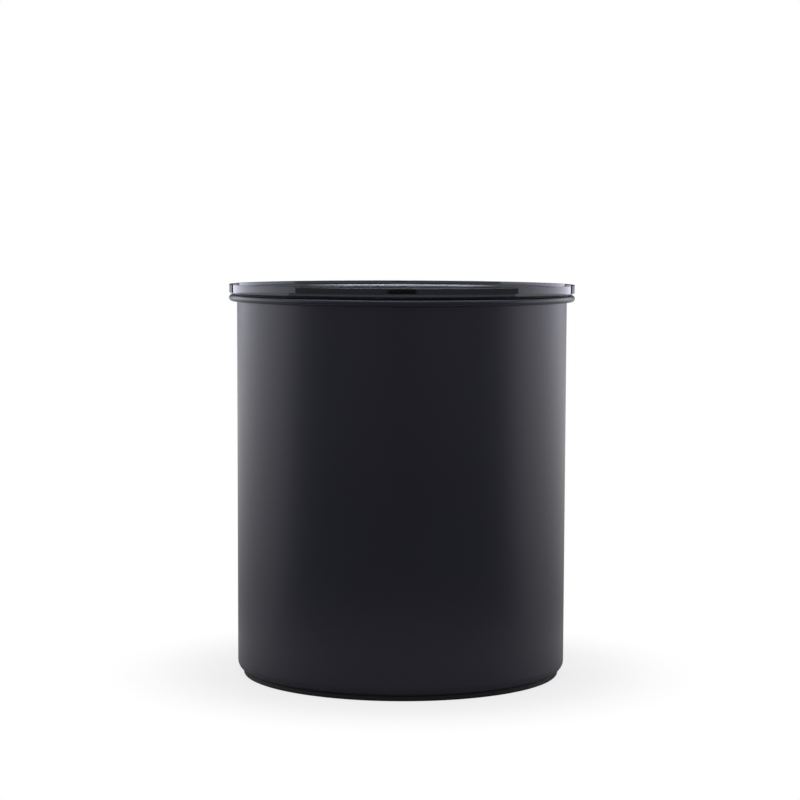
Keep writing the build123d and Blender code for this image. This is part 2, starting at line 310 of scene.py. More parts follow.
can_paint = skin(
    "powder_paint", blue_black, roughness=0.37, grain_mm=0.35, bump_mm=0.004, drift=0.04, patch_mm=25,
)
foot_rubber = skin("matt_rubber", rubber_black, roughness=0.72, grain_mm=0.5, bump_mm=0.02)
lid_silicone = skin("black_silicone", seal_black, roughness=0.6, grain_mm=0.4, bump_mm=0.004)
wiper_silicone = skin("grey_silicone", seal_grey, roughness=0.5, grain_mm=0.4, bump_mm=0.004)
disc_plastic = skin("moulded_disc", disc_black, roughness=0.4, grain_mm=0.3, bump_mm=0.008)
housing_plastic = skin("satin_plastic", housing_black, roughness=0.36, grain_mm=0.3, bump_mm=0.006)
handle_plastic = skin("textured_plastic", handle_black, roughness=0.42, grain_mm=0.25, bump_mm=0.012)
poppet_plastic = skin(
    "grey_acetal", pale_grey, roughness=0.3, grain_mm=0.5, bump_mm=0.003, shade=0.03,
)
print("finishes so far:", len(bpy.data.materials))


# %% [markdown]
# ## Smoky acrylic
# The outer lid is clear plastic with a smoke tint and faint scuffs. Seen edge-on it is dark, and from
# above its thin floor is light enough to show the inner lid. An absorbing volume could do that by
# itself, but a tint on the surface is quicker to render and simpler to export, and it changes here
# with the distance from the axis.

# %% The lid's tint by its distance from the axis
without_height = (1, 1, 0)
edge_smoke, floor_smoke = (0.020, 0.023, 0.026), (0.84, 0.86, 0.87)
smoky_from, light_within = 78 * mm, 74 * mm
scuff_mm, smoothest, scuffed = 9, 0.005, 0.02


def smoky_acrylic():
    """Clear plastic with a smoke tint that is deep in the edge and light in the floor, and scuffs."""
    finish = Finish("smoky_acrylic")
    place = finish.add("ShaderNodeTexCoord", output="Object")
    in_floor = finish.ramped(finish.length_of(place, without_height), smoky_from, light_within)
    scuffs = grain_of(finish, scuff_mm, detail=1.0)
    inputs = {
        "Base Color": finish.blended(in_floor, edge_smoke, floor_smoke),
        "Roughness": smoothest + scuffs * scuffed,
        "IOR": 1.49,
        "Transmission Weight": 1.0,
    }
    return finish.shown(finish.add("ShaderNodeBsdfPrincipled", {}, inputs))


clear_lid = smoky_acrylic()
print("tint changes between", light_within, "and", smoky_from, "m from the axis")

# %% [markdown]
# ## Steel
# The screws, the pin, its clip and the spring are bare steel. Its colour is the same all over, and
# what makes it look real is a gloss that changes from one fine mark to the next. Noise gives that
# without an image.


# %% Bright and brushed steel
bare_steel = (0.62, 0.61, 0.59)
mark_mm, mark_deep_mm, mark_drift = 0.25, 0.002, 0.1


def steel(name, roughness):
    """Bare steel with fine marks that change its gloss."""
    finish = Finish(name)
    grain = grain_of(finish, mark_mm, detail=4.0)
    inputs = {
        "Base Color": (*bare_steel, 1),
        "Metallic": 1.0,
        "Roughness": roughness - mark_drift / 2 + grain * mark_drift,
        "Normal": bumps(finish, grain, mark_deep_mm),
    }
    return finish.shown(finish.add("ShaderNodeBsdfPrincipled", {}, inputs))


screw_steel = steel("brushed_steel", roughness=0.3)
spring_steel = steel("steel_wire", roughness=0.24)
pin_steel = steel("bright_steel", roughness=0.22)
print("finishes:", len(bpy.data.materials))

# %% [markdown]
# ## Handing a piece to the frame
# Each piece rides on the body that carries its CAD node, hides that node and takes its place. The
# frame's record names the bodies, so one function does all of this for any piece, given its finish.

# %% Which body carries which node
bodies = frame["record"]["behaviour"]["bodies"]
carriers = {node: body for body, nodes in bodies.items() for node in nodes}


def hand_over(piece, node, finish):
    """Dresses a piece in its finish and lets it stand for a CAD node."""
    piece.data.materials.append(finish)
    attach(piece, carriers[node])
    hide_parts(node)
    print(f"{piece.name}: {len(piece.data.polygons)} faces, stands for {node}")


# %% [markdown]
# ## The steel can
# The can is one sheet of steel, drawn deep and then rolled outwards at its mouth. So it is made as
# sheet: the line of its inside is drawn from the middle of the base, up the wall and round the rim,
# spun, and then given the thickness of the steel on its outer side. A closed section would also do,
# but one line is easier to read and cannot have walls of two thicknesses.

# %% Spin the can from the line of its sheet
can_low, can_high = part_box("canister_shell")
sheet = 0.8 * mm
rim_radius = can_high.x
rim_height = 3.3 * mm
rim_projection = 4.1 * mm
corner_radius = 5.0 * mm
base_flat = 13.2 * mm
panel_raise = 1.5 * mm
curl_gap = 0.3 * mm
press_round = 0.6 * mm

wall_radius = rim_radius - rim_projection
bore_radius = wall_radius - sheet
base_inside = can_low.z + sheet
panel_radius = wall_radius - corner_radius - base_flat + sheet

sheet_line = outline(
    (0, base_inside + panel_raise),
    (panel_radius, base_inside + panel_raise, press_round),
    (panel_radius, base_inside, press_round),
    (bore_radius, base_inside, corner_radius - sheet),
    (bore_radius, can_high.z, rim_height / 2),
    (rim_radius, can_high.z, rim_height / 2),
    (rim_radius, can_high.z - rim_height, rim_height / 2),
    (wall_radius + curl_gap, can_high.z - rim_height),
    closed=False,
)
can_mesh = spun(sheet_line, steps=256)
bmesh.ops.remove_doubles(can_mesh, verts=can_mesh.verts, dist=touching)
bmesh.ops.recalc_face_normals(can_mesh, faces=can_mesh.faces)
base_face = min(can_mesh.faces, key=lambda face: face.calc_center_median().xy.length)
if base_face.normal.z < 0:
    bmesh.ops.reverse_faces(can_mesh, faces=can_mesh.faces)
bmesh.ops.solidify(can_mesh, geom=can_mesh.faces, thickness=sheet)
hand_over(finished("can", can_mesh), "canister_shell", can_paint)

# %% [markdown]
# ## The rubber ring under the can
# The ring is glued under the base and keeps the can from sliding and from scratching the shelf. Its
# lip climbs a little way up the rounded corner of the can, so its section follows that corner.
# Half-way across the lip, the corner has climbed about a quarter of the lip's height.

# %% Spin the ring
ring_low, ring_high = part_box("base_ring")
ring_outer = ring_high.x
ring_width = 14.0 * mm
ring_edge = 0.5 * mm
glue = 0.05 * mm
climb_half_way = 0.24
corner_centre = wall_radius - corner_radius
lip_height = corner_radius - ((corner_radius + glue) ** 2 - (ring_outer - corner_centre) ** 2) ** 0.5

ring = turned(
    "foot_ring",
    (ring_outer - ring_width, ring_low.z, ring_edge),
    (ring_outer, ring_low.z, ring_edge),
    (ring_outer, can_low.z + lip_height),
    ((corner_centre + ring_outer) / 2, can_low.z - glue + lip_height * climb_half_way),
    (corner_centre, can_low.z - glue),
    (ring_outer - ring_width, can_low.z - glue),
)
hand_over(ring, "base_ring", foot_rubber)

# %% [markdown]
# ## The smoky clear lid and its gasket
# The lid is one moulding: a flat floor that a second canister can stand on, a thin raised edge round
# it, and a plug that enters the mouth. The camera sees it almost edge-on, so what counts is the band:
# the thin edge above, the floor's own edge below, and the soft corner between the floor and the far
# edge, which catches the light from above. The gasket is a silicone flange on the rolled rim, with a
# band and two fins in the mouth.

# %% Spin the lid
lid_low, lid_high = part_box("lid_shell")
lid_radius = lid_high.x
lid_band = 4.6 * mm
lid_edge_width = 1.5 * mm
lid_edge, top_edge = 0.7 * mm, 0.15 * mm
recess_depth = 3.0 * mm
recess_round = 2.0 * mm
lid_floor = 1.8 * mm
plug_gap = 1.6 * mm
plug_wall = 1.8 * mm
soft = 0.25 * mm

plug_radius = bore_radius - plug_gap
plug_inside = plug_radius - plug_wall
recess_radius = lid_radius - lid_edge_width
recess_floor = lid_high.z - recess_depth
lid_under = recess_floor - lid_floor
band_bottom = lid_high.z - lid_band

lid = turned(
    "clear_lid",
    (0, lid_under),
    (plug_inside, lid_under, soft),
    (plug_inside, lid_low.z, lid_edge),
    (plug_radius, lid_low.z, lid_edge),
    (plug_radius, band_bottom, soft),
    (lid_radius, band_bottom, lid_edge),
    (lid_radius, lid_high.z, top_edge),
    (recess_radius, lid_high.z, top_edge),
    (recess_radius, recess_floor, recess_round),
    (0, recess_floor),
    closed=False,
)
hand_over(lid, "lid_shell", clear_lid)


# %% Spin the gasket
fin_thickness = 0.6 * mm
fin_rise = 0.9 * mm


def fin(root, tip, height):
    """The corners of one seal fin that leans upwards, with a soft tip."""
    return [
        (root, height),
        (tip, height + fin_rise, soft),
        (tip, height + fin_rise + fin_thickness, soft),
        (root, height + 2 * fin_thickness),
    ]


gasket_low, gasket_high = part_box("lid_gasket")
gasket_fit = 0.1 * mm
gasket_band = 0.8 * mm
fin_pitch = 2.6 * mm
seal_clearance = 0.3 * mm
gasket_inner = plug_radius + gasket_fit
band_radius = gasket_inner + gasket_band
fin_tip = bore_radius - seal_clearance

gasket = turned(
    "lid_gasket",
    (gasket_inner, gasket_low.z),
    (band_radius, gasket_low.z, soft),
    *fin(band_radius, fin_tip, gasket_low.z + fin_thickness),
    *fin(band_radius, fin_tip, gasket_low.z + fin_thickness + fin_pitch),
    (band_radius, can_high.z),
    (gasket_high.x, can_high.z, crisp),
    (gasket_high.x, gasket_high.z, crisp),
    (gasket_inner, gasket_high.z),
)
hand_over(gasket, "lid_gasket", lid_silicone)

# %% [markdown]
# ## Joining and cutting
# The pieces of the inner lid are not all round: they have ribs, ears, slots and holes. Each form is
# made on its own and joined to the body or cut out of it with a Boolean modifier, which Blender then
# applies. Heights of the inner lid are measured from the underside of its disc, and each piece is
# raised to its place at the end.

# %% Join and cut shapes
def combined(operation, body, *tools):
    """One mesh from a body and its tools. UNION joins the tools to it and DIFFERENCE cuts them out."""
    holders = [finished("raw", mesh) for mesh in (body, *tools)]
    for tool in holders[1:]:
        step = holders[0].modifiers.new("step", "BOOLEAN")
        step.operation, step.object, step.solver = operation, tool, "EXACT"
    shape = holders[0].evaluated_get(bpy.context.evaluated_depsgraph_get())
    result = bmesh.new()
    result.from_mesh(shape.to_mesh())
    shape.to_mesh_clear()
    for data in [holder.data for holder in holders]:
        bpy.data.meshes.remove(data)
    return result


# %% Repeat, move and lay shapes
def repeated(mesh, count, first=0.0):
    """Copies everything in the mesh round the upright axis."""
    start = Matrix.Rotation(first, 3, "Z")
    bmesh.ops.rotate(mesh, verts=mesh.verts, cent=middle, matrix=start)
    bmesh.ops.spin(
        mesh, geom=mesh.verts[:] + mesh.edges[:] + mesh.faces[:], cent=middle, axis=upright, dvec=middle,
        angle=2 * pi * (count - 1) / count, steps=count - 1, use_merge=False, use_duplicate=True,
    )
    return mesh


def laid(mesh):
    """Turns a mesh that stands along Z so that it lies along X."""
    bmesh.ops.rotate(mesh, verts=mesh.verts, cent=middle, matrix=Matrix.Rotation(pi / 2, 3, "Y"))
    return mesh


def moved(mesh, x=0, y=0, z=0):
    """Moves everything in the mesh."""
    bmesh.ops.translate(mesh, vec=(x, y, z), verts=mesh.verts)
    return mesh


# %% Make blocks, rods and plates
sharp_angle = radians(80)


def block(x, y, z, edge=slight):
    """A box between two limits along each axis, with softened edges."""
    mesh = bmesh.new()
    bmesh.ops.create_cube(mesh, size=1)
    spans = [Vector(limits) for limits in (x, y, z)]
    size = [high - low for low, high in spans]
    centre = [(low + high) / 2 for low, high in spans]
    bmesh.ops.scale(mesh, vec=size, verts=mesh.verts)
    bmesh.ops.translate(mesh, vec=centre, verts=mesh.verts)
    if edge:
        bmesh.ops.bevel(
            mesh, geom=mesh.edges, offset=edge, offset_type="OFFSET", segments=3, profile=0.5,
            affect="EDGES", material=-1,
        )
    return mesh


def rod(radius, low, high, segments=48):
    """A plain upright cylinder."""
    mesh = bmesh.new()
    bmesh.ops.create_cone(
        mesh, cap_ends=True, segments=segments, radius1=radius, radius2=radius, depth=high - low,
    )
    return moved(mesh, z=(low + high) / 2)


def thickened(mesh, along, edge, steps):
    """Gives flat faces a thickness along a vector, and rounds the sharp edges."""
    grown = bmesh.ops.extrude_face_region(mesh, geom=mesh.faces[:])
    far_points = [part for part in grown["geom"] if isinstance(part, bmesh.types.BMVert)]
    bmesh.ops.translate(mesh, vec=along, verts=far_points)
    bmesh.ops.recalc_face_normals(mesh, faces=mesh.faces)
    sharp = [side for side in mesh.edges if side.calc_face_angle(0) > sharp_angle]
    bmesh.ops.bevel(
        mesh, geom=sharp, offset=edge, offset_type="OFFSET", segments=steps, profile=0.5,
        affect="EDGES", material=-1,
    )
    return mesh


# %% [markdown]
# ## The disc of the inner lid
# The disc rides on the coffee. Its rim has a groove for the wiper seal, a thin dish spans the middle,
# and a thick pad carries the valve. Eight ribs and a ring stiffen the dish. The round part is spun,
# the ribs are joined to it, and the air ports are cut through it.

# %% The sizes of the disc
disc_low, disc_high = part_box("inner_lid_disc")
floor_of_lid = disc_low.z
disc_radius = disc_high.x
disc_height = disc_high.z - disc_low.z
rim_width = 5.0 * mm
pad_radius = 24.0 * mm
pad_height = 5.0 * mm
plate = 2.5 * mm
groove_depth = 2.8 * mm
groove_low, groove_high = 4.0 * mm, 10.0 * mm
rib_width, rib_height, rib_count = 1.8 * mm, 2.0 * mm, 8
ring_radius = 50 * mm
seat_inner, seat_outer, seat_height = 9.3 * mm, 10.8 * mm, 0.8 * mm
spigot_radius, spigot_height = 3.2 * mm, 1.5 * mm
port_radius, port_circle, port_count = 1.3 * mm, 7.3 * mm, 8
overrun = 1.0 * mm
dish_round, dish_round_below = 1.5 * mm, 0.8 * mm

dish_radius = disc_radius - rim_width
groove_radius = disc_radius - groove_depth
ring_top = pad_height + rib_height / 2
print("disc:", round(disc_radius / mm, 1), "mm in radius,", round(disc_height / mm, 1), "mm high")

# %% Spin the disc, join its ribs and drill its ports
round_part = spun(outline(
    (0, 0),
    (pad_radius, 0, gentle),
    (pad_radius, pad_height - plate, gentle),
    (dish_radius, pad_height - plate, dish_round_below),
    (dish_radius, 0, gentle),
    (disc_radius, 0, full),
    (disc_radius, groove_low, crisp),
    (groove_radius, groove_low),
    (groove_radius, groove_high),
    (disc_radius, groove_high, crisp),
    (disc_radius, disc_height, full),
    (dish_radius, disc_height, full),
    (dish_radius, pad_height, dish_round),
    (ring_radius + rib_width / 2, pad_height, slight),
    (ring_radius + rib_width / 2, ring_top, slight),
    (ring_radius - rib_width / 2, ring_top, slight),
    (ring_radius - rib_width / 2, pad_height, slight),
    (seat_outer, pad_height, crisp),
    (seat_outer, pad_height + seat_height, crisp),
    (seat_inner, pad_height + seat_height, crisp),
    (seat_inner, pad_height, crisp),
    (spigot_radius, pad_height, crisp),
    (spigot_radius, pad_height + spigot_height, mild),
    (0, pad_height + spigot_height),
    closed=False,
))
rib = block(
    (pad_radius - overrun, dish_radius + overrun),
    (-rib_width / 2, rib_width / 2),
    (pad_height - overrun, pad_height + rib_height),
)
port = rod(port_radius, -overrun, pad_height + overrun, segments=24)
ports = repeated(moved(port, x=port_circle), port_count)
disc_mesh = combined("UNION", round_part, repeated(rib, rib_count, pi / rib_count))
disc_mesh = combined("DIFFERENCE", disc_mesh, ports)
disc = finished("inner_lid_disc_moulding", disc_mesh, floor_of_lid)
hand_over(disc, "inner_lid_disc", disc_plastic)

# %% [markdown]
# ## The wiper seal
# A silicone ring in the groove of the disc. Its two fins wipe the bore of the can and hold the inner
# lid where the hand leaves it. It is spun from one section, like the gasket of the outer lid.

# %% Spin the wiper seal
seal_fit = 0.1 * mm
seal_inner = groove_radius + seal_fit
seal_root = disc_radius - seal_fit
seal_low = groove_low + seal_fit
seal_high = groove_high - seal_fit

seal = turned(
    "wiper_ring",
    (seal_inner, seal_low),
    (seal_root, seal_low),
    *fin(seal_root, fin_tip, seal_low + fin_thickness),
    *fin(seal_root, fin_tip, seal_low + fin_thickness + (groove_high - groove_low) / 2),
    (seal_root, seal_high),
    (seal_inner, seal_high),
    lift=floor_of_lid,
)
hand_over(seal, "wiper_seal", wiper_silicone)

# %% [markdown]
# ## The valve's poppet and washer
# The poppet is a small cap. Its flange presses the silicone washer on the seat round the ports, its hat
# holds the spring, and its stem comes out of the housing under the handle's cam. The poppet and the
# washer are round all over, so both are turned.

# %% Spin the poppet and its washer
seat_touch = 0.05 * mm
washer_thickness = 1.0 * mm
washer_overlap = 0.9 * mm
washer_low = pad_height + seat_height + seat_touch
washer_outer = seat_outer + washer_overlap
washer_inner = seat_inner - washer_overlap
poppet_flange = 1.5 * mm
flange_low = washer_low + washer_thickness
flange_high = flange_low + poppet_flange
hat_radius, hat_wall, hat_roof = 6.0 * mm, 1.0 * mm, 1.2 * mm
spring_length = 6.5 * mm
spring_top = pad_height + spring_length
hat_top = spring_top + hat_roof
stem_radius = 3.0 * mm
stem_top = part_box("valve_poppet")[1].z - floor_of_lid

poppet = turned(
    "poppet",
    (0, spring_top),
    (hat_radius - hat_wall, spring_top, slight),
    (hat_radius - hat_wall, washer_low + seat_touch, crisp),
    (washer_inner - seal_fit, washer_low + seat_touch, crisp),
    (washer_inner - seal_fit, flange_low),
    (washer_outer, flange_low, crisp),
    (washer_outer, flange_high, gentle),
    (hat_radius, flange_high, mild),
    (hat_radius, hat_top, ample),
    (stem_radius, hat_top, gentle),
    (stem_radius, stem_top, ample),
    (0, stem_top),
    steps=96,
    closed=False,
    lift=floor_of_lid,
)
hand_over(poppet, "valve_poppet", poppet_plastic)

washer = turned(
    "flat_washer",
    (washer_inner, washer_low, keen),
    (washer_outer, washer_low, keen),
    (washer_outer, flange_low, keen),
    (washer_inner, flange_low, keen),
    steps=96,
    lift=floor_of_lid,
)
hand_over(washer, "valve_washer", wiper_silicone)

# %% [markdown]
# ## The valve spring
# Four turns of steel wire under the poppet's hat. A curve with a round bevel would look the same, but
# a spin that climbs as it turns makes the mesh at once. The spring has to stretch when the poppet
# rises, but here it stays where it is wound and rides on no body.

# %% Wind the spring
wire_radius = 0.4 * mm
coil_radius = 4.2 * mm
turns = 4
steps_per_turn, wire_sides = 32, 12

wire = bmesh.new()
bmesh.ops.create_circle(wire, cap_ends=False, segments=wire_sides, radius=wire_radius)
bmesh.ops.rotate(wire, verts=wire.verts, cent=middle, matrix=Matrix.Rotation(pi / 2, 3, "X"))
moved(wire, x=coil_radius, z=pad_height + wire_radius)
climb = (spring_length - 2 * wire_radius) / (turns * steps_per_turn)
bmesh.ops.spin(
    wire, geom=wire.verts[:] + wire.edges[:], cent=middle, axis=upright, dvec=(0, 0, climb),
    angle=2 * pi * turns, steps=turns * steps_per_turn, use_merge=False, use_duplicate=False,
)
bmesh.ops.holes_fill(wire, edges=wire.edges, sides=0)
spring = finished("spring_coil", wire, floor_of_lid)
spring.data.materials.append(spring_steel)
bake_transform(spring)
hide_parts("valve_spring")
print("spring:", len(spring.data.polygons), "faces")

# %% [markdown]
# ## The valve housing
# The housing is a small dome with a screw flange. Four slots let the air out, a hole in the roof
# guides the stem, two ears hold the pin of the handle, and a ledge carries the folded handle. The dome
# is spun, the ears are rounded plates, and the slots and the pin's hole are cut.

# %% Spin the dome
flange_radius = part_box("valve_housing")[1].x
flange_thickness, flange_fillet = 2.0 * mm, 0.8 * mm
chamber_room = 1.6 * mm
dome_wall, dome_round = 2.0 * mm, 1.2 * mm
stem_clearance, stem_shows = 0.15 * mm, 0.3 * mm

chamber_radius = washer_outer + chamber_room
dome_radius = chamber_radius + dome_wall
dome_top = stem_top - stem_shows
chamber_top = dome_top - dome_wall
flange_top = pad_height + flange_thickness

dome = spun(outline(
    (chamber_radius, pad_height),
    (flange_radius, pad_height),
    (flange_radius, flange_top, ample),
    (dome_radius, flange_top, flange_fillet),
    (dome_radius, dome_top, dome_round),
    (stem_radius + stem_clearance, dome_top, slight),
    (stem_radius + stem_clearance, chamber_top),
    (chamber_radius, chamber_top, full),
), steps=128)
print("dome:", round(dome_radius / mm, 2), "mm in radius")

# %% Make an ear
ear_half_width, ear_thickness, ear_round = 5.0 * mm, 3.0 * mm, 0.35 * mm
almost_all = 0.99
steps_in_a_bend = 10
barrel_half, side_gap = 11.0 * mm, 0.3 * mm
sunk = 0.5 * mm
in_dome = dome_top - sunk
pin_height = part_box("valve_housing")[1].z - floor_of_lid - ear_half_width


def ear():
    """One rounded plate that stands on the dome and holds an end of the pin."""
    mesh = bmesh.new()
    top = pin_height + ear_half_width
    inside = barrel_half + side_gap
    corners = [(-1, in_dome), (1, in_dome), (1, top), (-1, top)]
    points = [mesh.verts.new((inside, side * ear_half_width, z)) for side, z in corners]
    mesh.faces.new(points)
    bmesh.ops.bevel(
        mesh, geom=points[2:], offset=almost_all * ear_half_width, offset_type="OFFSET",
        segments=steps_in_a_bend, profile=0.5, affect="VERTICES", material=-1,
    )
    return thickened(mesh, (ear_thickness, 0, 0), ear_round, steps=3)


# %% Join the ears and the ledge, cut the slots and the pin's hole
barrel_radius, loop_thickness = 5.0 * mm, 6.0 * mm
ledge_front, ledge_back, ledge_gap = 5.0 * mm, 2.0 * mm, 0.1 * mm
vent_width, vent_height, vent_sill = 7.0 * mm, 3.0 * mm, 1.6 * mm
vent_round, vent_count = 0.9 * mm, 4
pin_radius = 1.5 * mm
drill_reach = 20 * mm

ledge = block(
    (-barrel_half, barrel_half),
    (-barrel_radius - ledge_front, -barrel_radius - ledge_back),
    (in_dome, pin_height - loop_thickness / 2 - ledge_gap),
    gentle,
)
slots = repeated(block(
    (chamber_radius - overrun, dome_radius + overrun),
    (-vent_width / 2, vent_width / 2),
    (flange_top + vent_sill, flange_top + vent_sill + vent_height),
    vent_round,
), vent_count)
pin_hole = moved(laid(rod(pin_radius, -drill_reach, drill_reach, segments=32)), z=pin_height)
housing_mesh = combined("UNION", dome, repeated(ear(), 2), ledge)
housing_mesh = combined("DIFFERENCE", housing_mesh, slots, pin_hole)
housing = finished("housing_dome", housing_mesh, floor_of_lid)
hand_over(housing, "valve_housing", housing_plastic)

# %% [markdown]
# ## Screws, pin and clip
# Four pan-head screws with a cross recess hold the housing. The handle turns on a steel pin with a low
# head at one end and a snap ring in a groove at the other. One screw is turned and cut, then copied
# round.

# %% Turn and cut the screws
screw_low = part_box("housing_screws")[0].z - floor_of_lid
head_radius, head_height, head_round = 2.8 * mm, 1.8 * mm, 0.9 * mm
shank_radius = 1.4 * mm
arm_half, arm_thin, arm_deep = 1.7 * mm, 0.4 * mm, 0.9 * mm
shorter_below, thinner_below = 0.45, 0.7
screw_count = 4
head_top = flange_top + head_height
screw_circle = dome_radius + (flange_radius - dome_radius) / 2

shape = spun(outline(
    (0, screw_low),
    (shank_radius, screw_low, mild),
    (shank_radius, flange_top),
    (head_radius, flange_top, keen),
    (head_radius, head_top, head_round),
    (0, head_top),
    closed=False,
), steps=48)


def cross_arm():
    """One wedge of the cross recess: wide at the top and narrow at its bottom."""
    arm = block(
        (-arm_half, arm_half), (-arm_thin, arm_thin), (head_top - arm_deep, head_top + overrun), edge=0,
    )
    low_points = [point for point in arm.verts if point.co.z < head_top]
    bmesh.ops.scale(arm, vec=(shorter_below, thinner_below, 1), verts=low_points)
    return arm


screw = combined("DIFFERENCE", shape, cross_arm(), repeated(cross_arm(), 2, pi / 2))
all_screws = repeated(moved(screw, x=screw_circle), screw_count, pi / screw_count)
screws = finished("pan_head_screws", all_screws, floor_of_lid)
hand_over(screws, "housing_screws", screw_steel)

# %% Turn the pin and its clip
pin_low, pin_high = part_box("hinge_pin")
pin_head_radius, pin_head, pin_head_round = 2.6 * mm, 1.0 * mm, 0.45 * mm
pin_tip_round = 0.35 * mm
clip_low, clip_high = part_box("pin_clip")
clip_neck, clip_fit, clip_round = 0.4 * mm, 0.02 * mm, 0.1 * mm
clip_radius, clip_slot = 3.0 * mm, 1.6 * mm
neck_radius = pin_radius - clip_neck
clip_inner = pin_radius - clip_neck + clip_fit

pin_mesh = laid(spun(outline(
    (0, pin_low.x),
    (pin_head_radius, pin_low.x, pin_head_round),
    (pin_head_radius, pin_low.x + pin_head, keen),
    (pin_radius, pin_low.x + pin_head),
    (pin_radius, clip_low.x - clip_fit),
    (neck_radius, clip_low.x - clip_fit),
    (neck_radius, clip_high.x + clip_fit),
    (pin_radius, clip_high.x + clip_fit),
    (pin_radius, pin_high.x, pin_tip_round),
    (0, pin_high.x),
    closed=False,
), steps=64))
pin = finished("turned_pin", moved(pin_mesh, z=pin_height), floor_of_lid)
hand_over(pin, "hinge_pin", pin_steel)

ring_mesh = laid(spun(outline(
    (clip_inner, clip_low.x, clip_round),
    (clip_radius, clip_low.x, clip_round),
    (clip_radius, clip_high.x, clip_round),
    (clip_inner, clip_high.x, clip_round),
), steps=64))
mouth = block(
    (clip_low.x - overrun, clip_high.x + overrun),
    (0, clip_radius + overrun),
    (-clip_slot / 2, clip_slot / 2),
    edge=0,
)
clip_mesh = combined("DIFFERENCE", ring_mesh, mouth)
clip = finished("snap_ring", moved(clip_mesh, z=pin_height), floor_of_lid)
hand_over(clip, "pin_clip", spring_steel)

# %% [markdown]
# ## The folding handle
# The handle is a flat loop for the fingers on a short neck. Its barrel turns on the pin, and the cam
# in the middle of the barrel holds the valve shut while the handle lies folded. The loop is drawn as
# two rounded outlines that are bridged, thickened and given round edges. The bar that the fingers pull
# has five low ribs for grip.

# %% Draw the loop and give it its thickness
handle_low, handle_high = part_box("handle")
loop_half = handle_high.x
loop_near, loop_far = -8.0 * mm, handle_low.y
arm_width, grip_width = 9.0 * mm, 12.0 * mm
loop_corner = 14.0 * mm
loop_edge = 1.8 * mm


def rounded_outline(mesh, half_x, y_far, y_near, corner):
    """Adds a rectangle of edges with rounded corners, and returns its edges."""
    before = set(mesh.edges)
    corners = [(-half_x, y_far), (half_x, y_far), (half_x, y_near), (-half_x, y_near)]
    points = [mesh.verts.new((x, y, -loop_thickness / 2)) for x, y in corners]
    for here, there in zip(points, points[1:] + points[:1]):
        mesh.edges.new((here, there))
    bmesh.ops.bevel(
        mesh, geom=points, offset=corner, offset_type="OFFSET", segments=steps_in_a_bend,
        profile=0.5, affect="VERTICES", material=-1,
    )
    return [edge for edge in mesh.edges if edge not in before]


loop = bmesh.new()
outside = rounded_outline(loop, loop_half, loop_far, loop_near, loop_corner)
window = rounded_outline(
    loop, loop_half - arm_width, loop_far + grip_width, loop_near - arm_width, loop_corner - arm_width,
)
bmesh.ops.bridge_loops(loop, edges=outside + window)
thickened(loop, (0, 0, loop_thickness), loop_edge, steps=5)
print("loop:", len(loop.faces), "faces")

# %% Make the neck, the barrel and the cam
cam_radius, cam_half, cam_offset = 4.6 * mm, 4.5 * mm, 1.0 * mm
half_thickness = loop_thickness / 2

neck = block(
    (-barrel_half, barrel_half),
    (loop_near - arm_width / 2, 0),
    (-half_thickness, half_thickness),
    crisp,
)
left_barrel = laid(rod(barrel_radius, -barrel_half, -cam_half))
right_barrel = laid(rod(barrel_radius, cam_half, barrel_half))
cam = moved(laid(rod(cam_radius, -cam_half, cam_half)), y=-cam_offset, z=-cam_offset)

# %% Add the grip ribs, join all of it and drill the bore
rib_half, rib_pitch, rib_round = 14 * mm, 1.7 * mm, 0.24 * mm
grip_rib = 0.5 * mm
bore_clearance = 0.05 * mm

grips = []
for row in (-2, -1, 0, 1, 2):
    y = loop_far + grip_width / 2 + row * rib_pitch
    for z in (-half_thickness, half_thickness):
        across, up = (y - grip_rib, y + grip_rib), (z - grip_rib, z + grip_rib / 2)
        grips.append(block((-rib_half, rib_half), across, up, rib_round))
handle_mesh = combined("UNION", loop, neck, left_barrel, right_barrel, cam, *grips)
bore = laid(rod(pin_radius + bore_clearance, -drill_reach, drill_reach, segments=32))
handle_mesh = combined("DIFFERENCE", handle_mesh, bore)
handle = finished("folding_handle", moved(handle_mesh, z=pin_height), floor_of_lid)
hand_over(handle, "handle", handle_plastic)

# %% [markdown]
# ## The studio
# The photograph was taken in front of a white wall, with bright white surfaces at both sides and
# little light from the front. Boards and lamps could stand for them. But what the paint and the lid
# show of a studio is a mirror image, and the world can give that by direction alone. So the world
# holds a pattern of light and dark that only gloss sees. Each side wall has a hard edge towards the
# front, brightens towards the back and ends in a flag, a narrow black strip. The front is dim, with a
# darker gap where the camera stands.

# %% The walls, the front and the back, by direction
world = bpy.data.worlds.new("studio")
scene.world = world
sky = Finish("studio", owner=world)
direction = sky.add("ShaderNodeTexCoord")
aside, ahead, raised = (
    sky.add("ShaderNodeSeparateXYZ", {}, {"Vector": direction}, output=axis) for axis in "XYZ"
)
dim_front, dark_camera, camera_edge = 0.4, 0.08, -0.987
lean, wall_edge, flag_from, flag_to = 0.0715, -0.21, 0.874, 0.905
beside, at_back = 1.6, 2.9
table_behind, wall_behind, horizon = 0.6, 0.06, 0.01

depth = ahead - aside * lean
wall = sky.ramped(depth, wall_edge, flag_from, beside, at_back)
front = dim_front - (ahead < camera_edge) * (dim_front - dark_camera)
sides = (depth > wall_edge) * (wall - front) + front
backdrop = table_behind - (raised > horizon) * (table_behind - wall_behind)
all_round = sides - (ahead > flag_from) * sides + (ahead > flag_to) * backdrop
print("side walls:", beside, "to", at_back, "- front:", dim_front)

# %% [markdown]
# ## What the lid mirrors
# The clear lid mirrors the walls too. Seen from above it would be a bright veil over the inner lid, so
# the walls grow dimmer higher up. Straight overhead hangs a soft oval patch, wider than it is deep.
# The round corner between the lid's floor and its far edge mirrors that as one thin bright line.

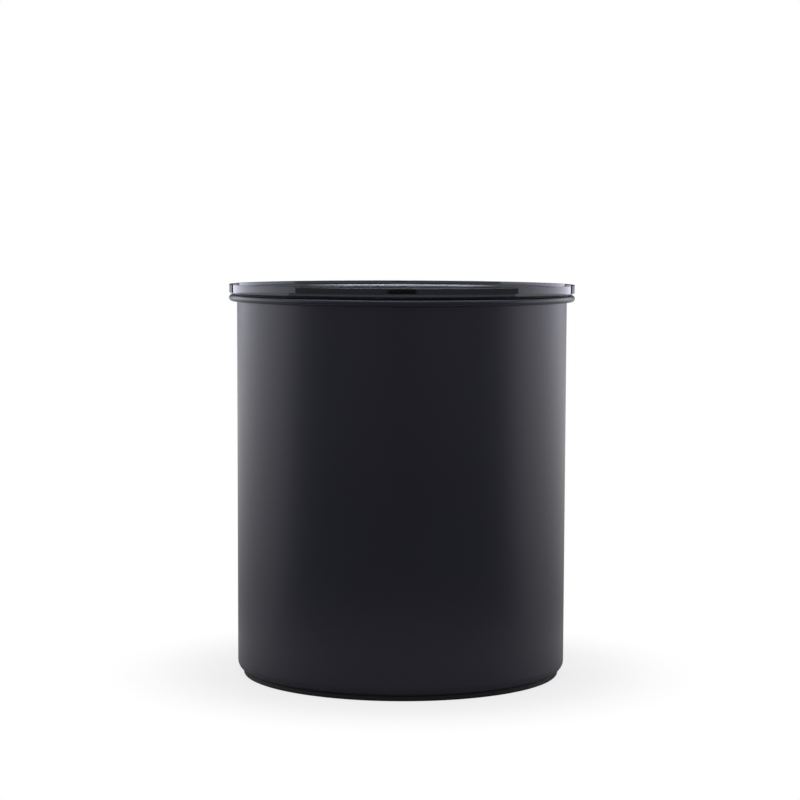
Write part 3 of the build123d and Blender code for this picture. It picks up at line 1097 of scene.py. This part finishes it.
# %% Dimmer upper walls and a patch overhead
full_below, faded_above, faded = 0.12, 0.45, 0.4
patch_squeeze, patch_core, patch_rim, patch_level = 0.5, 0.14, 0.36, 13.0

upper_walls = sky.ramped(raised, full_below, faded_above, 1.0, faded, smooth=True)
off_centre = sky.length_of(direction, (patch_squeeze, 1, 0))
patch = sky.ramped(off_centre, patch_core, patch_rim, patch_level, 0.0, smooth=True)
overhead = (raised > 0) * patch

# %% [markdown]
# ## Who sees which surroundings
# The camera sees plain white, and so does a ray that has passed through glass. A glossy ray sees the
# pattern, in a slightly cool white. What lights matt surfaces is even and without a pattern.

# %% Send each kind of ray its light
camera_ray, through, glossy = (
    sky.add("ShaderNodeLightPath", output=name)
    for name in ("Is Camera Ray", "Is Transmission Ray", "Is Glossy Ray")
)
ambient = 0.45
plain_white, cool_white = (1, 1, 1), (0.96, 0.97, 1.14)

directly = sky.add("ShaderNodeMath", {"operation": "MAXIMUM"}, {0: camera_ray, 1: through})
pattern = all_round * upper_walls + overhead
strength = directly + (1 - directly) * (glossy * pattern + (1 - glossy) * ambient)
colour = sky.blended(glossy, plain_white, cool_white)
sky.shown(sky.add("ShaderNodeBackground", {}, {"Color": colour, "Strength": strength}))
print("nodes in the world:", len(sky.tree.nodes))


# %% [markdown]
# ## Two soft lamps
# The even light alone would leave the forms flat. A weak lamp in front and a stronger one above give
# them their light and shade, and the can its soft shadow. The clear lid would mirror the lamps as
# bright patches with corners, so they are hidden from its rays, which Blender counts as transmitted.
# The upper one is hidden from gloss as well.

# %% A lamp in front and a lamp above
def soft_light(name, place, target, width, height, power):
    """A large rectangular lamp that faces a point."""
    lamp = bpy.data.lights.new(name, "AREA")
    lamp.shape = "RECTANGLE"
    lamp.size, lamp.size_y, lamp.energy = width, height, power
    holder = bpy.data.objects.new(name, lamp)
    scene.collection.objects.link(holder)
    facing = (Vector(target) - Vector(place)).to_track_quat("-Z", "Y")
    holder.matrix_world = Matrix.Translation(place) @ facing.to_matrix().to_4x4()
    return holder


half_height = cad_high.z / 2
lamp_ahead = soft_light(
    "front_light", place=(0, -2.2, 2.0), target=(0, 0, half_height), width=0.8, height=0.8, power=2.5,
)
lamp_above = soft_light(
    "top_light", place=(0, 0.1, 1.3), target=(0, 0.1, 0), width=0.4, height=0.8, power=11,
)
lamp_ahead.visible_transmission = False
lamp_above.visible_glossy = lamp_above.visible_transmission = False
print("lamps:", lamp_ahead.name, "and", lamp_above.name)

# %% [markdown]
# ## The floor
# Near the can the floor is partly matt, so that it takes the shadow, and further out it turns into the
# same white as the wall. A camera that looks slightly down sees the floor in the paint. So for gloss
# the floor glows with painted light and shade: painted light of the side walls makes it bright at the
# sides and dim in front, and a painted shadow of the can makes it dimmer close to the can.

# %% Make the floor and measure it from the can
floor_radius = 3.0
floor_mesh = bmesh.new()
bmesh.ops.create_circle(floor_mesh, cap_ends=True, segments=96, radius=floor_radius)
floor = finished("floor", floor_mesh)
paper = Finish("pale_floor")
spot = paper.add("ShaderNodeTexCoord", output="Object")
forward = paper.add("ShaderNodeSeparateXYZ", {}, {"Vector": spot}, output="Y")
away = paper.length_of(spot, without_height)
bearing = forward * away ** -1
print("floor:", floor_radius, "m in radius")

# %% Give the camera white with a shadow, and gloss painted light and shade
shadow_reach, mirrored_from = 0.16, 0.22
white_at_can = 0.8
dim_within, bright_beyond, painted_shade_near_can = 0.2, 1.2, 0.3
beside_floor, front_floor = 1.2, 0.33
paper_grey = (0.5, 0.5, 0.5, 1)

seen = paper.add("ShaderNodeLightPath", output="Is Camera Ray")
mirrored = paper.add("ShaderNodeLightPath", output="Is Glossy Ray")
whiteness = paper.ramped(away, rim_radius, shadow_reach, white_at_can, 1.0, smooth=True)
beyond_shadow = paper.ramped(away, shadow_reach, mirrored_from)
# Painted light: the glow that gloss sees is bright at the sides and behind, and dim in front.
by_bearing = front_floor + (bearing > wall_edge) * (beside_floor - front_floor)
# Painted shadow of the can: the glow that gloss sees is dimmer close to it.
painted_floor_light = paper.ramped(away, dim_within, bright_beyond, painted_shade_near_can) * by_bearing
glow = 1 + mirrored * (painted_floor_light - 1)
share_of_glow = whiteness * seen + mirrored * beyond_shadow
matt = paper.add("ShaderNodeBsdfDiffuse", {}, {"Color": paper_grey})
white = paper.add("ShaderNodeEmission", {}, {"Color": (*plain_white, 1), "Strength": glow})
mixed = paper.add("ShaderNodeMixShader", {}, {0: share_of_glow, 1: matt, 2: white})
floor.data.materials.append(paper.shown(mixed))

# %% [markdown]
# ## The camera
# The angle comes from the photograph: the outline of the can, its rim and its foot fit a camera with a
# long lens that stands a little above the lid and looks down by less than six degrees.

# %% Place the camera
camera_aside = -0.0007
camera_distance = 1.1956
camera_height = 0.2291
look_down = radians(5.643)
roll = radians(0.2)
sensor = 36.0
image_size = 800
lens_pixels = 2332
axis_row = 457.5

lens = bpy.data.cameras.new("camera")
lens.sensor_width = sensor
lens.lens = lens_pixels / image_size * sensor
lens.shift_y = (axis_row - image_size / 2) / image_size
camera = bpy.data.objects.new("camera", lens)
scene.collection.objects.link(camera)
camera.matrix_world = (
    Matrix.Translation((camera_aside, -camera_distance, camera_height))
    @ Matrix.Rotation(pi / 2 - look_down, 4, "X")
    @ Matrix.Rotation(roll, 4, "Z")
)
scene.camera = camera
print("lens:", round(lens.lens, 1), "mm")

# %% [markdown]
# ## Colours as written
# The picture's colours are kept as written.

# %% Colours as written
scene.view_settings.view_transform = "Standard"
